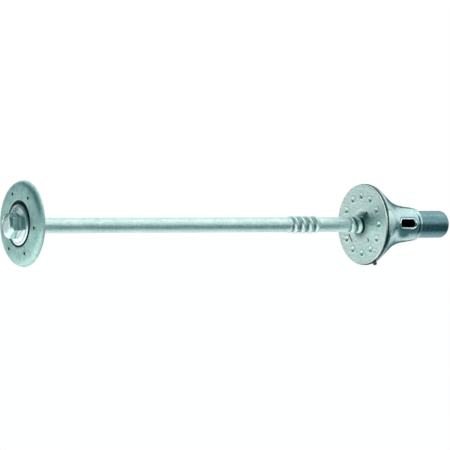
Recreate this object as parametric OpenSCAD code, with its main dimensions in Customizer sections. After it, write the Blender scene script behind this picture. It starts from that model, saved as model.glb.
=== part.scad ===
// Through bolt with a hexagon head, a dished near plate and a flared far anchor.
// Every piece is drawn round a z axis that starts at the underside of the head.
// Clock angles are read from the head end: 0 is 3 o'clock and 90 is 12 o'clock.

/* [Bolt] */
// Diameter of the plain shank
shank_d = 9.6; // [8.8:0.1:10]
// Length from the underside of the head to the tip
bolt_len = 277; // [272:1:290]
// Height of the 45 degree chamfer at the tip
tip_chamfer = 1.4; // [0.6:0.1:2]
// Width of the hexagon across its flats
hex_af = 14; // [12:0.5:17]
// Height of the hexagon head
hex_h = 6.7; // [5:0.1:9]
// Diameter of the flat circle on top of the head
hex_flat_d = 13; // [10:0.1:13.4]
// Slope of the chamfer round that circle, in degrees
hex_chamfer_angle = 30; // [20:1:40]
// Clock angle of a corner of the hexagon
hex_clock = -22; // [-30:1:30]

/* [Coil thread] */
// Outside diameter of the rolled coil
thread_d = 11.8; // [11:0.1:12.4]
// Advance of the coil in one turn
thread_lead = 5.8; // [5:0.1:6.5]
// Number of turns in the near stretch
near_thread_turns = 4.1; // [3:0.1:6]
// Plain length between the near and the far stretch
thread_between = 23.3; // [15:0.1:40]
// Length of the far stretch that shows in front of the far plate
far_thread_shown = 14; // [12.5:0.1:20]
// Plain length behind the far stretch, up to the tip
tip_plain = 2.2; // [1.8:0.1:4]
// Length over which the coil fades out at each end
thread_fade = 2; // [1:0.1:3]

/* [Washer and seal] */
// Diameter of the washer where the head bears on it
washer_front_d = 21.8; // [19:0.1:23]
// Diameter of the washer where it bears on the seal
washer_rear_d = 25; // [23:0.1:26]
// Thickness of the washer
washer_t = 1.8; // [1:0.1:2.5]
// Radius of the washer's front edge
washer_edge_r = 0.4; // [0.2:0.1:0.6]
// Thickness of the rubber seal
seal_t = 1.2; // [0.8:0.1:2]
// How much larger the seal's radius is than the washer's
seal_margin = 1.1; // [0.6:0.1:1.4]
// How far the shank lies below the middle of the washer
washer_sag = 0.5; // [0:0.05:0.8]
// Radial play that is left under the shank in the washer
washer_play = 0.1; // [0.1:0.05:0.3]

/* [Near plate] */
// Diameter of the dished plate
plate_d = 53; // [48:0.5:54]
// Thickness of its sheet
plate_t = 1.3; // [1:0.1:1.8]
// Outer radius of the turned rim
plate_rim_r = 4.2; // [3:0.1:5.5]
// Depth of the recess that takes the washer
recess_depth = 1.4; // [0.8:0.1:2]
// Radial play of the seal in the recess
recess_play = 0.4; // [0.3:0.1:1]
// Run of the recess's sloping wall
recess_slope = 0.6; // [0.4:0.1:1.2]
// Radial play of the plate round the coil thread
plate_hole_play = 0.6; // [0.5:0.05:1]
// How far the shank lies below the middle of the plate and of its seal
plate_sag = 1.25; // [0:0.05:1.3]
// Number of pinholes
pinhole_count = 6; // [4:1:8]
// Diameter of the circle of pinholes
pinhole_pcd = 39.2; // [36:0.1:40]
// Diameter of a pinhole
pinhole_d = 1.7; // [1:0.1:2.2]
// Clock angle of the first pinhole
pinhole_clock = -8; // [-30:1:30]

/* [Far plate] */
// Distance from the front of the far plate to the tip of the bolt
tip_reach = 13.6; // [11:0.1:16]
// Diameter of the far plate
face_d = 53.8; // [50:0.1:54]
// Thickness of the far plate
face_t = 1.5; // [1.2:0.1:2]
// Number of dimples
dimple_count = 12; // [8:1:16]
// Diameter of the circle of dimples
dimple_pcd = 38.4; // [36:0.1:42]
// Diameter of a dimple
dimple_d = 3.4; // [2:0.1:4]
// Depth of a dimple
dimple_depth = 0.9; // [0.3:0.05:1]
// Diameter at which the helical lip leaves the plate
lip_root_d = 20.4; // [18:0.1:21]
// Thickness of the helical lip
lip_t = 1.1; // [0.8:0.1:1.3]
// Radial play between the helical lip and the shank
lip_play = 0.5; // [0.4:0.05:0.6]
// Open angle between the two ends of the lip
lip_gap_angle = 15; // [10:1:40]
// Clock angle of the middle of that opening
lip_gap_clock = 55; // [30:1:90]
// Width of the two slits
slit_w = 0.9; // [0.6:0.1:1.2]
// Radius of the curved slit
slit_curve_r = 15.6; // [14:0.1:16]
// Clock angle of the middle of the curved slit
slit_curve_clock = -144; // [-150:1:-138]
// Angle that the curved slit spans
slit_curve_span = 26; // [10:1:30]
// Clock angle of the straight slit
slit_straight_clock = -55; // [-60:1:-50]
// Distance from the root of the lip to the straight slit
slit_straight_gap = 0.8; // [0.6:0.1:1.6]
// Length of the straight slit
slit_straight_len = 2.7; // [2:0.1:3.5]

/* [Flared sleeve] */
// How far the sleeve's rim stands out past the far plate
rim_over = 0.3; // [0.2:0.05:1]
// Straight land of the rim behind the far plate
rim_land = 1.1; // [0.6:0.1:2]
// Outer radius that rounds the rim into the cone
rim_round = 4.5; // [3:0.1:6]
// Wall of the sleeve
sleeve_wall = 1.2; // [0.8:0.1:1.4]
// Slope of the cone, in degrees
cone_angle = 35; // [33:0.5:36]
// Radius that hollows the cone into the neck
flare_r = 38; // [36:0.5:39]
// Slope of the neck, in degrees
neck_angle = 6.5; // [5:0.5:7]
// Length of the neck
neck_len = 9.1; // [8:0.1:10]
// Radial play of the barrel in the neck, which leaves room for its bead
neck_play = 0.81; // [0.75:0.01:1.2]
// Outer radius that turns the neck's end inwards
neck_end_r = 2.2; // [1.8:0.1:2.4]
// Number of windows round the sleeve
window_count = 1; // [1:1:3]
// Clock angle of the first window
window_clock = 2.5; // [-10:0.5:10]
// Distance from the far plate's front to the near end of a window
window_at = 21.6; // [20:0.1:24]
// Length of a window
window_len = 17; // [12:0.1:18]
// Width of a window
window_w = 5.9; // [4:0.1:7]
// Width of the lip round a window
window_lip_w = 0.7; // [0.5:0.1:1]
// Height of the lip round a window
window_lip_h = 0.45; // [0.2:0.05:0.6]
// Clock angle of the crimp dimple, from its window
crimp_clock = 46.5; // [40:0.5:60]
// Distance from the far plate's front to the crimp dimple
crimp_at = 35.8; // [34:0.1:38]
// Diameter of the crimp dimple
crimp_d = 2.6; // [1.5:0.1:3]
// Depth of the crimp dimple
crimp_depth = 0.5; // [0.2:0.05:0.6]
// Distance from the far plate's front to the middle of the shallow flute in line with a window
flute_at = 5.6; // [4:0.1:7]
// Width of the flute
flute_d = 19; // [14:0.5:20]
// Depth of the flute
flute_depth = 0.6; // [0.3:0.05:0.7]
// Height of the lug on the rim
lug_h = 2.4; // [1.5:0.1:3]
// Width of the lug
lug_w = 2.7; // [2:0.1:3.5]
// Thickness of the lug along the axis
lug_t = 1.6; // [1:0.1:2]

/* [End barrel] */
// Diameter of the barrel
barrel_d = 18.3; // [16:0.1:18.6]
// Wall of the barrel
barrel_wall = 1.6; // [1:0.1:2]
// Length of the barrel that shows behind the neck
barrel_shown = 25.3; // [18:0.1:28]
// Length of the barrel inside the neck
barrel_inside = 7.7; // [6:0.1:12]
// Radius that rounds the closed end
barrel_nose_r = 4; // [2:0.1:6]
// Height of the bead that keeps the barrel in the neck
bead_h = 0.5; // [0.3:0.05:0.7]
// Radial play of the barrel in the neck's end
barrel_play = 0.05; // [0.03:0.01:0.1]

/* [Hidden] */
$fn = 96;

shank_r = shank_d / 2;
thread_r = thread_d / 2;
barrel_r = barrel_d / 2;
rim_r = face_d / 2 + rim_over;
face_at = bolt_len - tip_reach;
face_mid = face_at + face_t / 2;
cut = 1;

// The washer and the seal stand on the recess's floor, behind the face of the near plate
washer_bore_r = shank_r + washer_sag + washer_play;
seal_r = washer_rear_d / 2 + seal_margin;
recess_floor_at = washer_t + seal_t;
plate_face_at = recess_floor_at - recess_depth;
recess_r = seal_r + recess_play;
plate_hole_r = thread_r + plate_hole_play;

// The coil runs to just short of the tip, and its ends sink a little below the shank
far_thread_at = face_at - far_thread_shown;
far_thread_end = bolt_len - tip_plain;
near_thread_end = far_thread_at - thread_between;
near_thread_at = near_thread_end - near_thread_turns * thread_lead;
thread_sink = 0.08;
thread_overlap = 0.4;
thread_around = 28;
thread_per_turn = 10;

// The lip's middle is opposite its opening, at an angle that runs against the clock
lip_angle = 180 - lip_gap_clock;

// A line of the sleeve is a run of [z, radius, heading], and the wall lies inside it
arc_steps = 10;
function arc_run(start, h0, h1, r) =
    let (side = h1 > h0 ? 1 : -1, n = arc_steps)
    [for (i = [1:n])
        let (h = h0 + (h1 - h0) * i / n)
        [start[0] + side * r * (sin(h) - sin(h0)), start[1] - side * r * (cos(h) - cos(h0)), h]];
function last(list) = list[len(list) - 1];

// The cone is as long as it must be to bring the rim in to the neck, which takes the barrel
neck_r = barrel_r + neck_play + sleeve_wall;
rim_drop = rim_round * (1 - cos(cone_angle));
flare_drop = flare_r * (cos(neck_angle) - cos(cone_angle));
neck_drop = neck_len * tan(neck_angle);
cone_drop = rim_r - neck_r - rim_drop - flare_drop - neck_drop;
cone_len = cone_drop / sin(cone_angle);
end_turn = 65;
rim_start = [face_at + face_t, rim_r, 0];
rim_land_end = [rim_start[0] + rim_land, rim_r, 0];
rim_run = arc_run(rim_land_end, 0, -cone_angle, rim_round);
cone_end = last(rim_run) + [cone_len * cos(cone_angle), -cone_drop, 0];
flare_run = arc_run(cone_end, -cone_angle, -neck_angle, flare_r);
neck_end = last(flare_run) + [neck_len, -neck_drop, 0];
end_run = arc_run(neck_end, -neck_angle, -end_turn, neck_end_r);
sleeve_line = concat([rim_start, rim_land_end], rim_run, [cone_end], flare_run, [neck_end], end_run);
sleeve_end = last(end_run)[0];

// Points of the sleeve's line, moved out of the wall by a height
function moved(line, h) = [for (p = line) [p[1] + h * cos(p[2]), p[0] - h * sin(p[2])]];

// Radius of the straight cone, also where the rim rounds it off
function cone_radius(z) = cone_end[1] + (cone_end[0] - z) * tan(cone_angle);

barrel_end = sleeve_end + barrel_shown;
barrel_start = sleeve_end - barrel_inside;

// The rim and the lug both lie on the floor, so the lug chocks the rim
axis_height = rim_r;
lug_round = lug_w / 2;
lug_centre = rim_r + lug_h - lug_round;
lug_clock = -90 + acos((rim_r - lug_round) / lug_centre);

// The head end points along -X, and the origin is under the middle of the whole bolt
head_seat_x = hex_h - (hex_h + barrel_end) / 2;

// Stands the pieces' z axis along +X with 3 o'clock towards -Y and 12 o'clock towards +Z
module on_axis() {
    translate([head_seat_x, 0, axis_height]) rotate([0, 90, 0]) rotate([0, 0, -90]) children();
}

// Turns to a clock angle, so that the local x axis points outwards there
module at_clock(angle) {
    rotate([0, 0, -angle]) children();
}

// Radius of the coil: a ridge of one start, with its groove in the far plate at the middle of the lip
function coil_share(z, angle) =
    let (turns = (z - face_mid) / thread_lead - (angle - lip_angle) / 360)
    pow(sin(180 * (turns - floor(turns))), 2);
function coil_fade(z, z0, z1) = min(1, max(0, min(z - z0, z1 - z) / thread_fade));
function coil_r(z, angle, z0, z1) =
    z <= z0 || z >= z1
        ? shank_r - thread_sink
        : shank_r + (thread_r - shank_r) * coil_share(z, angle) * coil_fade(z, z0, z1);

// A threaded length of the bolt, with its own core, that runs a little into the shank at each end
module coil(z0, z1) {
    rings = ceil((z1 - z0) / thread_lead * thread_per_turn);
    heights = concat([z0 - thread_overlap], [for (i = [0:rings]) z0 + (z1 - z0) * i / rings],
        [z1 + thread_overlap]);
    n = thread_around;
    count = len(heights);
    points = [for (z = heights) for (k = [0:n - 1])
        let (angle = 360 * k / n, r = coil_r(z, angle, z0, z1))
        [r * cos(angle), r * sin(angle), z]];
    walls = [for (i = [0:count - 2]) for (k = [0:n - 1])
        let (a = i * n + k, b = i * n + (k + 1) % n)
        each [[a, a + n, b], [b, a + n, b + n]]];
    ends = [[for (k = [0:n - 1]) k], [for (k = [n - 1:-1:0]) (count - 1) * n + k]];
    polyhedron(points, concat(walls, ends));
}

// The hexagon with a cone taken off its top corners
module hexagon_head() {
    corner_r = hex_af / 2 / cos(30) + cut;
    drop = (corner_r - hex_flat_d / 2) * tan(hex_chamfer_angle);
    intersection() {
        translate([0, 0, -hex_h]) at_clock(hex_clock) cylinder(h = hex_h, d = hex_af / cos(30), $fn = 6);
        rotate_extrude()
            polygon([[0, -hex_h], [hex_flat_d / 2, -hex_h], [corner_r, drop - hex_h], [corner_r, 0],
                [0, 0]]);
    }
}

module through_bolt() {
    color("silver") {
        hexagon_head();
        cylinder(h = near_thread_at, r = shank_r);
        coil(near_thread_at, near_thread_end);
        translate([0, 0, near_thread_end]) cylinder(h = thread_between, r = shank_r);
        coil(far_thread_at, far_thread_end);
        rotate_extrude()
            polygon([[0, far_thread_end], [shank_r, far_thread_end], [shank_r, bolt_len - tip_chamfer],
                [shank_r - tip_chamfer, bolt_len], [0, bolt_len]]);
    }
}

// Lifts a ring by how far the shank lies below its middle
module lifted(height) {
    at_clock(90) translate([height, 0, 0]) at_clock(-90) children();
}

module head_washer() {
    front_r = washer_front_d / 2;
    edge_turn = atan2(washer_t, (washer_rear_d - washer_front_d) / 2);
    color("lightgray")
        lifted(washer_sag) rotate_extrude()
            polygon(concat([[washer_bore_r, 0], [front_r - washer_edge_r, 0]],
                [for (i = [1:arc_steps])
                    let (a = edge_turn * i / arc_steps)
                    [front_r - washer_edge_r * (1 - sin(a)), washer_edge_r * (1 - cos(a))]],
                [[washer_rear_d / 2, washer_t], [washer_bore_r, washer_t]]));
}

module washer_seal() {
    color("dimgray")
        lifted(plate_sag) translate([0, 0, washer_t]) difference() {
            cylinder(h = seal_t, r = seal_r);
            translate([0, 0, -cut]) cylinder(h = seal_t + 2 * cut, r = plate_hole_r);
        }
}

// The pan's section: hole, recess, flat face and turned rim, all of one sheet thickness
module plate_section() {
    bend_r = plate_d / 2 - plate_rim_r;
    bend_z = plate_face_at + plate_rim_r;
    front = concat(
        [[plate_hole_r, recess_floor_at], [recess_r, recess_floor_at],
            [recess_r + recess_slope, plate_face_at]],
        [for (i = [0:2 * arc_steps])
            let (a = 90 * i / (2 * arc_steps))
            [bend_r + plate_rim_r * sin(a), bend_z - plate_rim_r * cos(a)]]);
    back = concat(
        [for (i = [2 * arc_steps:-1:0])
            let (a = 90 * i / (2 * arc_steps), r = plate_rim_r - plate_t)
            [bend_r + r * sin(a), bend_z - r * cos(a)]],
        [[recess_r + recess_slope + plate_t / 2, plate_face_at + plate_t],
            [recess_r + plate_t / 2, recess_floor_at + plate_t],
            [plate_hole_r, recess_floor_at + plate_t]]);
    polygon(concat(front, back));
}

module head_plate() {
    color("darkseagreen")
        lifted(plate_sag) difference() {
            rotate_extrude() plate_section();
            for (i = [0:pinhole_count - 1])
                at_clock(pinhole_clock + 360 * i / pinhole_count)
                    translate([pinhole_pcd / 2, 0, plate_face_at - cut])
                        cylinder(h = plate_t + 2 * cut, d = pinhole_d, $fn = 24);
        }
}

// One turn of sheet, pressed so that its inner edge follows the groove of the coil
module helical_lip() {
    span = 360 - lip_gap_angle;
    steps = 40;
    inner_r = shank_r + lip_play;
    root_r = lip_root_d / 2;
    rooted = 0.45;
    sections = [for (i = [0:steps])
        let (turn = span * (i / steps - 0.5), angle = lip_angle + turn)
        let (z = face_mid + thread_lead * turn / 360)
        each [
            [root_r + rooted, angle, face_mid - rooted], [root_r + rooted, angle, face_mid + rooted],
            [inner_r, angle, z + lip_t / 2], [inner_r, angle, z - lip_t / 2]]];
    points = [for (p = sections) [p[0] * cos(p[1]), p[0] * sin(p[1]), p[2]]];
    sides = [for (i = [0:steps - 1]) for (k = [0:3])
        let (a = 4 * i + k, b = 4 * i + (k + 1) % 4)
        each [[a, b, a + 4], [b, b + 4, a + 4]]];
    polyhedron(points, concat([[3, 2, 1, 0]], sides, [[for (k = [0:3]) 4 * steps + k]]));
}

// A ball that sinks a dimple of a width and a depth into a flat face
module dimple_ball(d, depth) {
    ball_r = (d * d / 4 + depth * depth) / (2 * depth);
    translate([0, 0, depth - ball_r]) sphere(r = ball_r, $fn = 48);
}

module face_plate() {
    color("gainsboro") {
        difference() {
            translate([0, 0, face_at]) cylinder(h = face_t, d = face_d);
            translate([0, 0, face_at - cut]) cylinder(h = face_t + 2 * cut, d = lip_root_d);
            for (i = [0:dimple_count - 1])
                at_clock(360 * i / dimple_count)
                    translate([dimple_pcd / 2, 0, face_at]) dimple_ball(dimple_d, dimple_depth);
            at_clock(slit_curve_clock + slit_curve_span / 2)
                rotate_extrude(angle = slit_curve_span)
                    translate([slit_curve_r - slit_w / 2, face_at - cut]) square([slit_w, face_t + 2 * cut]);
            at_clock(slit_straight_clock)
                translate([lip_root_d / 2 + slit_straight_gap, -slit_w / 2, face_at - cut])
                    cube([slit_straight_len, slit_w, face_t + 2 * cut]);
        }
        helical_lip();
    }
}

// A bar with round ends that stands across the wall at 3 o'clock, as long and wide as a window
module window_bar(grow, reach) {
    half = window_w / 2 + grow;
    z0 = face_at + window_at + window_w / 2;
    z1 = face_at + window_at + window_len - window_w / 2;
    translate([0, 0, z0]) rotate([0, 90, 0]) cylinder(h = reach, r = half);
    translate([0, 0, z1]) rotate([0, 90, 0]) cylinder(h = reach, r = half);
    translate([0, -half, z0]) cube([reach, 2 * half, z1 - z0]);
}

// The sleeve's wall, made thicker on the outside by a height, with its revolve begun away from the window
module sleeve_shell(h) {
    outer = moved(sleeve_line, h);
    inner = moved(sleeve_line, -sleeve_wall);
    hole_r = barrel_r + barrel_play;
    at_clock(180) rotate_extrude()
        polygon(concat(outer, [[hole_r, last(outer)[1]], [hole_r, last(inner)[1]]],
            [for (i = [len(inner) - 1:-1:0]) inner[i]]));
}

module rim_lug() {
    at_clock(lug_clock) {
        translate([lug_centre, 0, rim_start[0]]) cylinder(h = lug_t, r = lug_round, $fn = 32);
        translate([rim_r - sleeve_wall, -lug_round, rim_start[0]])
            cube([lug_centre - rim_r + sleeve_wall, lug_w, lug_t]);
    }
}

module flared_sleeve() {
    crimp_r = lookup(face_at + crimp_at, [for (p = sleeve_line) [p[0], p[1]]]);
    color("lightsteelblue") {
        difference() {
            union() {
                sleeve_shell(0);
                for (i = [0:window_count - 1])
                    at_clock(window_clock + 360 * i / window_count)
                        intersection() {
                            sleeve_shell(window_lip_h);
                            window_bar(window_lip_w, rim_r);
                        }
            }
            for (i = [0:window_count - 1])
                at_clock(window_clock + 360 * i / window_count) {
                    window_bar(0, rim_r + cut);
                    translate([cone_radius(face_at + flute_at), 0, face_at + flute_at])
                        rotate([0, 270 - cone_angle, 0]) dimple_ball(flute_d, flute_depth);
                    at_clock(crimp_clock)
                        translate([crimp_r, 0, face_at + crimp_at])
                            rotate([0, -90, 0]) dimple_ball(crimp_d, crimp_depth);
                }
        }
        rim_lug();
    }
}

module end_barrel() {
    inner_r = barrel_r - barrel_wall;
    bead_at = sleeve_end - sleeve_wall - bead_h - barrel_play;
    color("darkslategray") {
        rotate_extrude()
            polygon(concat([[inner_r, barrel_start], [barrel_r, barrel_start]],
                [for (i = [0:arc_steps])
                    let (a = 90 * i / arc_steps)
                    [barrel_r - barrel_nose_r * (1 - cos(a)), barrel_end - barrel_nose_r * (1 - sin(a))]],
                [[0, barrel_end], [0, barrel_end - barrel_wall], [inner_r, barrel_end - barrel_nose_r]]));
        rotate_extrude() translate([barrel_r, bead_at]) circle(r = bead_h, $fn = 24);
    }
}

on_axis() through_bolt();
on_axis() head_washer();
on_axis() washer_seal();
on_axis() head_plate();
on_axis() face_plate();
on_axis() flared_sleeve();
on_axis() end_barrel();
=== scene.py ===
import bpy
import bmesh
import math
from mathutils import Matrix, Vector


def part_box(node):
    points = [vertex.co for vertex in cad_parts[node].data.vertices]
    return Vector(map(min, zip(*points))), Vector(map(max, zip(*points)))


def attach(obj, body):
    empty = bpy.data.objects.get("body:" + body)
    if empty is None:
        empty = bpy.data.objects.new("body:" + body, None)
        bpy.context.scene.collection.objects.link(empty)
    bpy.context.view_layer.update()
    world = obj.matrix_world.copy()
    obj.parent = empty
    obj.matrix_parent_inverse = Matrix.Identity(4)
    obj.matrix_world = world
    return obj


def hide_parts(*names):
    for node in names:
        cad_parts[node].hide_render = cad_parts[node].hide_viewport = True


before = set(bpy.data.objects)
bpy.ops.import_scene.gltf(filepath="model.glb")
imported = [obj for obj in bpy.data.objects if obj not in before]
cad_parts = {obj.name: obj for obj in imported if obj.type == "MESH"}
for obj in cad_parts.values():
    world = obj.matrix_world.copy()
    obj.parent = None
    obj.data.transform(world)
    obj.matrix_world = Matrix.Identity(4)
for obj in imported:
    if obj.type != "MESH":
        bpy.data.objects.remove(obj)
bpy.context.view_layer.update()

# Studio
# A long lens looks at the bolt from its head end, level with its axis. The room is white, and dark
# cards stand where the photograph's bare metal mirrors them: low in front and behind, to the right,
# above to the left and beside the washer. Paler ones stand at the far left and beside the neck.
mm = 0.001
barrel_low, barrel_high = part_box("end_barrel")
axis_z = (barrel_low.z + barrel_high.z) / 2
camera_azimuth = math.radians(-33.7)
camera_distance = 1.5484
camera_roll = math.radians(-0.2)
target = Vector((-9.94 * mm, 0, axis_z))

camera = bpy.data.objects.new("camera", bpy.data.cameras.new("camera"))
bpy.context.scene.collection.objects.link(camera)
camera.data.lens = 192
camera.data.sensor_width = 36
camera.data.clip_start = 0.01
away = Vector((math.sin(camera_azimuth), -math.cos(camera_azimuth), 0))
camera.location = target + away * camera_distance
camera.rotation_euler = (-away).to_track_quat("-Z", "Y").to_euler()
camera.rotation_euler.rotate_axis("Z", camera_roll)
bpy.context.scene.camera = camera
bpy.context.scene.view_settings.view_transform = "Standard"


def linked(tree, socket, term):
    """Joins an output socket to an input, or sets the input to a value."""
    if isinstance(term, bpy.types.NodeSocket):
        tree.links.new(term, socket)
    else:
        socket.default_value = term


def calc(tree, operation, *terms):
    """One step of arithmetic in a node tree, on numbers or output sockets."""
    node = tree.nodes.new("ShaderNodeMath")
    node.operation = operation
    for socket, term in zip(node.inputs, terms):
        linked(tree, socket, term)
    return node.outputs[0]


def blended(tree, kind, share, first, second):
    """A mix of two colours or numbers."""
    node = tree.nodes.new("ShaderNodeMix")
    node.data_type = kind
    sockets = [socket for socket in node.inputs if socket.enabled]
    for socket, term in zip(sockets, (share, first, second)):
        linked(tree, socket, term)
    return next(socket for socket in node.outputs if socket.enabled)


def fade(tree, value, start, end):
    """A soft step from 0 at a start to 1 at an end."""
    node = tree.nodes.new("ShaderNodeMapRange")
    node.interpolation_type = "SMOOTHSTEP"
    for label, term in (("Value", value), ("From Min", start), ("From Max", end)):
        linked(tree, node.inputs[label], term)
    return node.outputs[0]


def shown_over(tree, lighting, shown, share, output):
    """Ends a tree in one shader for its light, and a share of another for what the camera sees."""
    rays = tree.nodes.new("ShaderNodeLightPath")
    seen = calc(tree, "MAXIMUM", rays.outputs["Is Camera Ray"], rays.outputs["Is Transmission Ray"])
    choice = tree.nodes.new("ShaderNodeMixShader")
    for socket, term in zip(choice.inputs, (calc(tree, "MULTIPLY", seen, share), lighting, shown)):
        linked(tree, socket, term)
    tree.links.new(choice.outputs[0], tree.nodes.new(output).inputs[0])


world = bpy.data.worlds.new("studio")
bpy.context.scene.world = world
world.use_nodes = True
room = world.node_tree
room.nodes.clear()
direction = room.nodes.new("ShaderNodeSeparateXYZ")
room.links.new(room.nodes.new("ShaderNodeTexCoord").outputs["Generated"], direction.inputs[0])
to_right, to_back, upward = direction.outputs


def heights(*steps, soft=0.06):
    """A level that changes with the height of a direction, from (height, level) steps, the lowest first."""
    level = steps[0][1]
    for height, brightness in steps[1:]:
        share = fade(room, upward, height - soft, height + soft)
        level = blended(room, "FLOAT", share, level, brightness)
    return level


def sector(right, back):
    """A part of the room, which a direction enters between the two numbers of each pair."""
    return calc(room, "MULTIPLY", fade(room, to_right, *right), fade(room, to_back, *back))


def with_cards(level, *cards):
    """Stands cards in the room one over another, each given by its part of the room and its level."""
    for share, card in cards:
        level = blended(room, "FLOAT", share, level, card)
    return level


front = heights((-1, 0.75), (-0.78, 0.07), (0.06, 0.85))
barrel_front = heights((-1, 0.75), (-0.72, 0.04), (0.22, 0.85))
back = heights((-1, 0.95), (-0.2, 0.1), (0.02, 0.95))
right_side = heights((-1, 0.95), (-0.63, 0.05), (0.03, 0.85))
neck_side = 0.8
right_back = heights((-1, 0.95), (-0.34, 0.03), (0.4, 1.0))
flare_side = heights((-1, 0.95), (-0.55, 0.03), (0.6, 1.0))
far_left = heights((-1, 1.0), (0.13, 0.75))
washer_side = heights((-1, 1.0), (-0.1, 0.02), soft=0.04)
left = with_cards(
    heights((-1, 1.0), (-0.04, 0.05), soft=0.12),
    (sector(right=(-0.49, -0.57), back=(0.66, 0.76)), far_left),
    (sector(right=(-0.66, -0.74), back=(0.72, 0.66)), washer_side))
lean_of_left = calc(room, "MULTIPLY", fade(room, to_back, 0.6, 0.9), -0.14)
from_left = calc(room, "SUBTRACT", to_right, lean_of_left)
level = with_cards(
    front,
    (fade(room, to_right, 0.6, 0.63), barrel_front),
    (fade(room, to_back, -0.05, 0.35), back),
    (fade(room, to_right, 0.68, 0.8), right_side),
    (sector(right=(0.66, 0.76), back=(0.2, 0.35)), neck_side),
    (sector(right=(0.5, 0.6), back=(0.5, 0.6)), right_back),
    (sector(right=(0.62, 0.66), back=(0.45, 0.55)), flare_side),
    (fade(room, from_left, 0.05, -0.06), left))
card_colour, white_colour = (0.02, 0.1, 0.11, 1), (0.95, 1, 0.99, 1)
banded = room.nodes.new("ShaderNodeBackground")
linked(room, banded.inputs["Color"], blended(room, "RGBA", level, card_colour, white_colour))
banded.inputs["Strength"].default_value = 1.16
white = room.nodes.new("ShaderNodeBackground")
white.inputs["Color"].default_value = (1, 1, 1, 1)
shown_over(room, banded.outputs[0], white.outputs[0], 1.0, "ShaderNodeOutputWorld")

half_floor = 3.0
floor_mesh = bpy.data.meshes.new("floor")
floor_mesh.from_pydata(
    [(x * half_floor, y * half_floor, 0) for x, y in ((-1, -1), (1, -1), (1, 1), (-1, 1))],
    [], [(0, 1, 2, 3)])
floor = bpy.data.objects.new("floor", floor_mesh)
bpy.context.scene.collection.objects.link(floor)
paper = bpy.data.materials.new("white_paper")
paper.use_nodes = True
sheet = paper.node_tree
sheet.nodes.clear()
matt = sheet.nodes.new("ShaderNodeBsdfDiffuse")
matt.inputs["Color"].default_value = (0.9, 0.9, 0.9, 1)
glow = sheet.nodes.new("ShaderNodeEmission")
glow.inputs["Strength"].default_value = 1.05
shown_over(sheet, matt.outputs[0], glow.outputs[0], 0.9, "ShaderNodeOutputMaterial")
floor.data.materials.append(paper)
floor.visible_glossy = False

softbox = bpy.data.lights.new("softbox", "AREA")
softbox.shape = "RECTANGLE"
softbox.size = 1.2
softbox.size_y = 0.5
softbox.energy = 1
lamp = bpy.data.objects.new("softbox", softbox)
bpy.context.scene.collection.objects.link(lamp)
lamp.location = (0.6, -0.4, 1.1)
lamp.rotation_euler = (Vector((0, 0, axis_z)) - lamp.location).to_track_quat("-Z", "Y").to_euler()


# Bolt
# One forged and rolled steel piece: a hexagon head, a plain shank and two stretches of coarse coil
# thread that stand proud of it. It is hot-dip galvanised, so its skin is slightly lumpy.
bolt_low, bolt_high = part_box("through_bolt")
washer_low, washer_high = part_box("head_washer")
sleeve_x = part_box("flared_sleeve")[0].x
seat_x = washer_low.x
bolt_length = bolt_high.x - seat_x
face_thickness = 1.5 * mm
face_x = sleeve_x - face_thickness
shank_radius = 4.8 * mm
ridge_height = 1.1 * mm
thread_lead = 5.8 * mm
thread_fade = 1.4 * mm
far_thread_shown = 14 * mm
tip_plain = 2.2 * mm
tip_chamfer = 1.4 * mm
thread_between = 23.3 * mm
near_thread_length = 4.1 * thread_lead
far_thread_start = face_x - seat_x - far_thread_shown
near_thread_end = far_thread_start - thread_between
near_thread_start = near_thread_end - near_thread_length
lip_clock = math.radians(-125)
hex_across_flats = 14 * mm
hex_corner = math.radians(22)
crown_middle, crown_from, crown_round = 2 * mm, 4.6 * mm, 0.1 * mm
crown_edge, crown_radius = math.radians(10), 10.5 * mm
bolt_around, bolt_rings = 84, 720


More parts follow.
